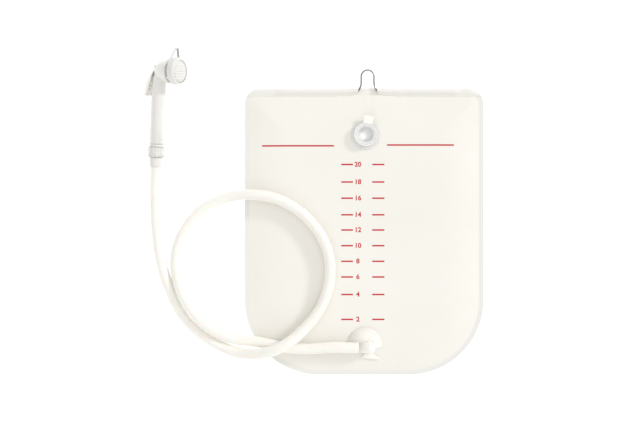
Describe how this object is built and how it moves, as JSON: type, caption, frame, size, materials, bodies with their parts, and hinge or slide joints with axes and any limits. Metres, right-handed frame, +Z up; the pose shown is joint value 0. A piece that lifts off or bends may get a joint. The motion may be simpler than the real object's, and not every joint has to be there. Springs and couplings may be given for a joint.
{
  "type": "camp shower bag",
  "caption": "Flat vinyl camp shower bag with a wire hanging hook, a push-in filler plug, and a long hose that ends in a thumb-valve shower head.",
  "frame": {"origin": "centre of the bag's underside, on the plane it lies on", "axes": "+Z up out of the bag's front, +Y towards the hanging hook, +X to the right, away from the hose"},
  "size_m": [0.4978, 0.4785, 0.0548],
  "materials": {
    "milky_film": "soft milky vinyl sheet with a low gloss",
    "white_vinyl": "smooth white flexible vinyl",
    "white_plastic": "glossy off-white moulding",
    "clear_vinyl": "clear greyish vinyl, glossy",
    "steel": "bright drawn steel wire",
    "chrome": "polished chrome strip",
    "black_rubber": "plain black rubber"
  },
  "bodies": {
    "bag_and_handset": {"rear_panel": "milky_film", "front_panel": "milky_film", "top_hem": "milky_film", "filler_neck": "clear_vinyl", "outlet_patch": "white_vinyl", "outlet_elbow": "white_vinyl", "hose": "white_vinyl", "hose_ferrule": "white_plastic", "hose_tail": "white_plastic", "tail_washer": "black_rubber", "handle_collar": "white_plastic", "handle_body": "white_plastic", "rose_gasket": "black_rubber", "lever_pin": "steel", "gland_washer": "steel", "stem_seal": "black_rubber", "valve_spring": "steel"},
    "hanger": {"hanger_wire": "steel"},
    "plug": {"filler_plug": "clear_vinyl", "plug_tab": "white_vinyl"},
    "nut": {"union_nut": "white_plastic"},
    "rose": {"rose_ring": "white_plastic", "spray_plate": "white_plastic"},
    "bail": {"bail": "chrome"},
    "lever": {"thumb_lever": "white_plastic"},
    "stem": {"valve_stem": "white_plastic", "valve_seal": "black_rubber"}
  },
  "joints": [
    {"name": "hanger_swing", "type": "hinge", "parent": "bag_and_handset", "child": "hanger", "pos_m": [0.005, 0.2073, 0.0045], "axis": [1, 0, 0], "range_deg": [0, 150]},
    {"name": "plug_pull", "type": "slide", "parent": "bag_and_handset", "child": "plug", "axis": [0, 0.0296, 0.9996], "range_m": [0, 0.015]},
    {"name": "nut_turn", "type": "hinge", "parent": "bag_and_handset", "child": "nut", "pos_m": [-0.30416, 0.11714, 0.01261], "axis": [0.0487, 0.9961, 0.0732], "continuous": true},
    {"name": "rose_turn", "type": "hinge", "parent": "bag_and_handset", "child": "rose", "pos_m": [-0.27202, 0.23216, 0.03528], "axis": [0.8802, -0.0775, 0.4682], "continuous": true},
    {"name": "bail_swivel", "type": "hinge", "parent": "bag_and_handset", "child": "bail", "pos_m": [-0.278, 0.23269, 0.0321], "axis": [0.8802, -0.0775, 0.4682], "continuous": true},
    {"name": "lever_press", "type": "hinge", "parent": "bag_and_handset", "child": "lever", "pos_m": [-0.30237, 0.24054, 0.01941], "axis": [-0.4721, -0.0417, 0.8806], "range_deg": [0, 7.5], "stiffness_Nm_per_rad": 0.2, "springref_deg": -8.59},
    {"name": "stem_slide", "type": "slide", "parent": "bag_and_handset", "child": "stem", "axis": [0.8802, -0.0775, 0.4682], "range_m": [0, 0.00195], "deforming": ["valve_spring"]}
  ],
  "couplings": [
    {"joint": "stem_slide", "follows": "lever_press", "m_per_rad": 0.014}
  ]
}
